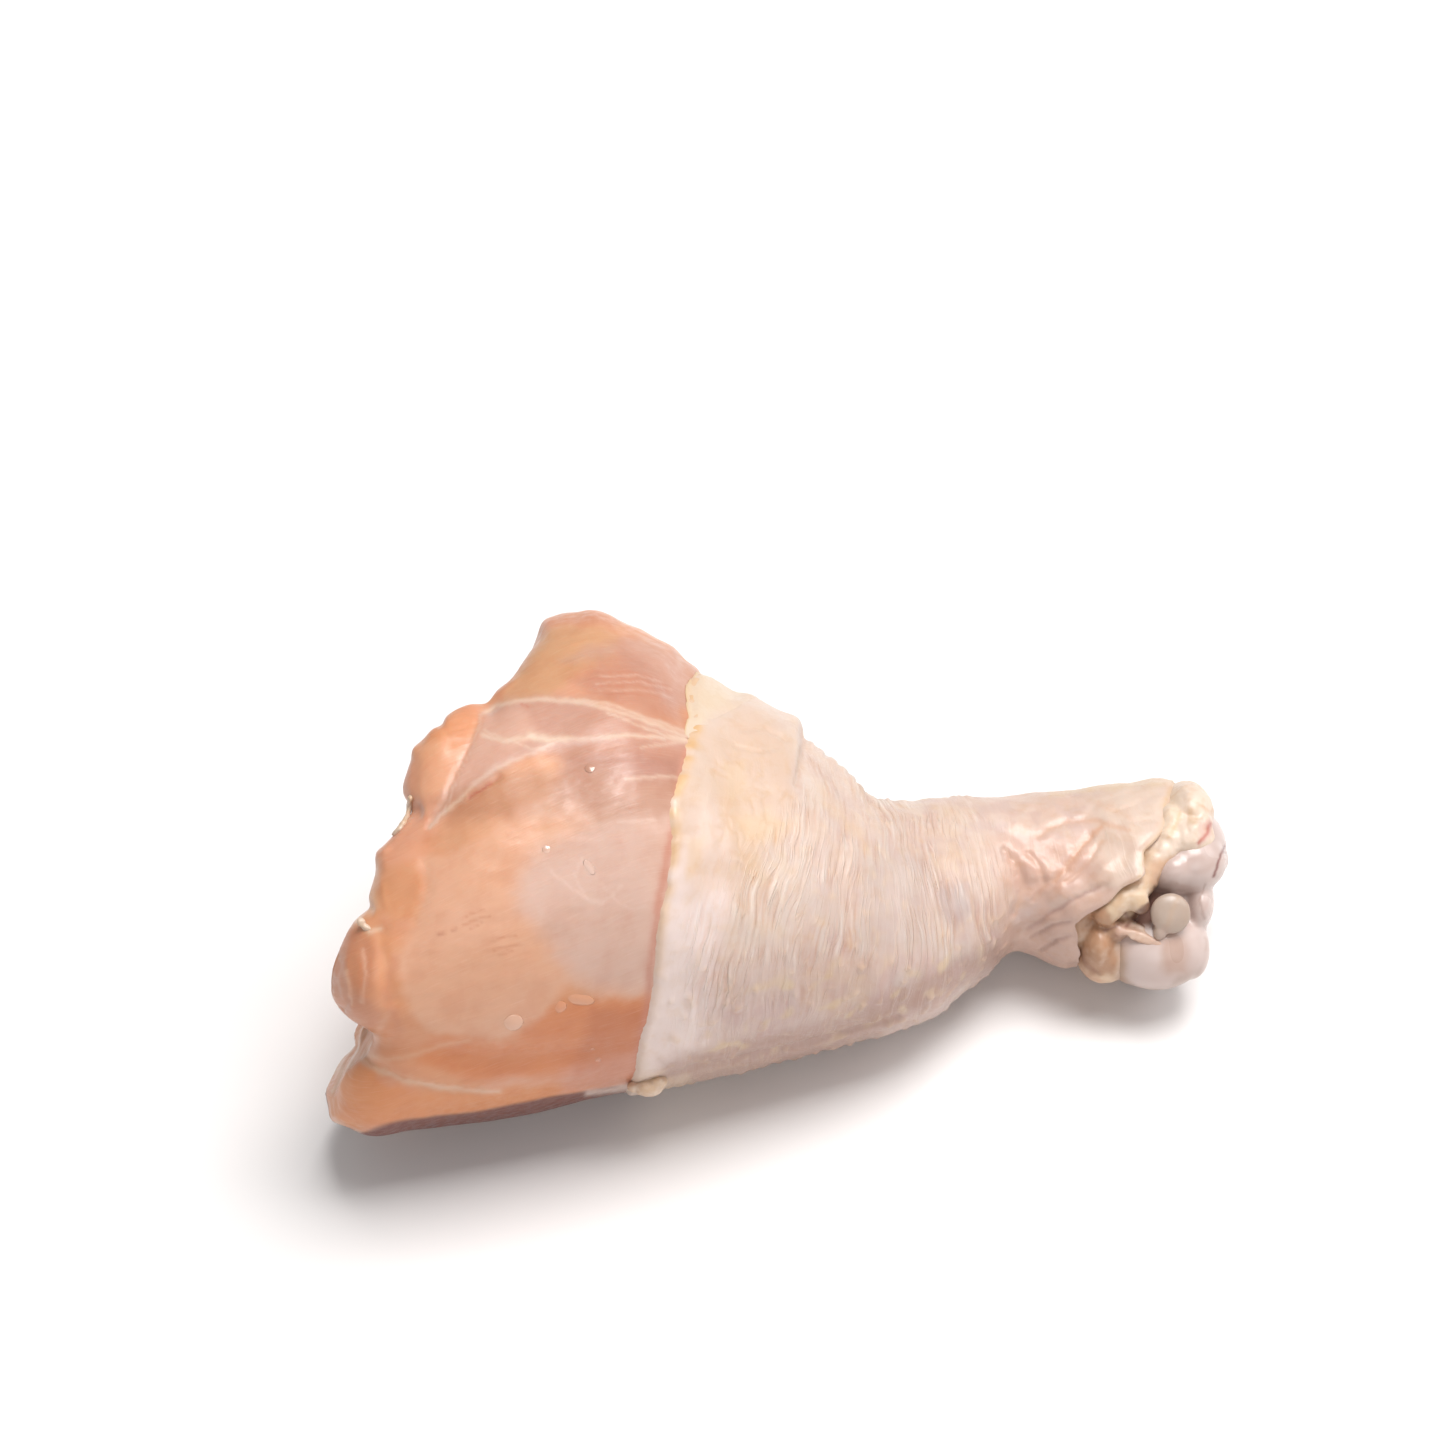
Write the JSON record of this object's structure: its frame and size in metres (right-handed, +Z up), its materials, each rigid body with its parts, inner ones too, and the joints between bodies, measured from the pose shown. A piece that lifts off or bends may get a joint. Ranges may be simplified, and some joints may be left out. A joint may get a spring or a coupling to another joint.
{
  "type": "raw chicken drumstick",
  "caption": "Raw chicken drumstick lying on its side: bare flesh at the knee end, loose skin over the rest, cartilage at the ankle.",
  "frame": {"origin": "centre of the bounding box's base, on the surface the drumstick lies on", "axes": "+X along the leg from the knee end to the ankle, -Y towards the side the picture shows, +Z up"},
  "size_m": [0.1258, 0.0638, 0.0592],
  "materials": {
    "flesh": "wet raw muscle under a thin clear membrane",
    "skin": "moist, finely wrinkled poultry skin",
    "fat": "soft raw fat, slightly wet",
    "cartilage": "smooth, wet, bluish white cartilage",
    "sinew": "moist cream and tan connective tissue"
  },
  "bodies": {
    "root": {"flesh": "flesh", "skin": "skin", "skin_fat": "fat", "fat_nub": "fat", "rim_fat": "fat", "fat_scrap": "fat", "ankle_cartilage": "cartilage", "tendon_knob": "cartilage", "knee_cartilage": "cartilage", "ankle_sinew": "sinew"}
  },
  "joints": []
}
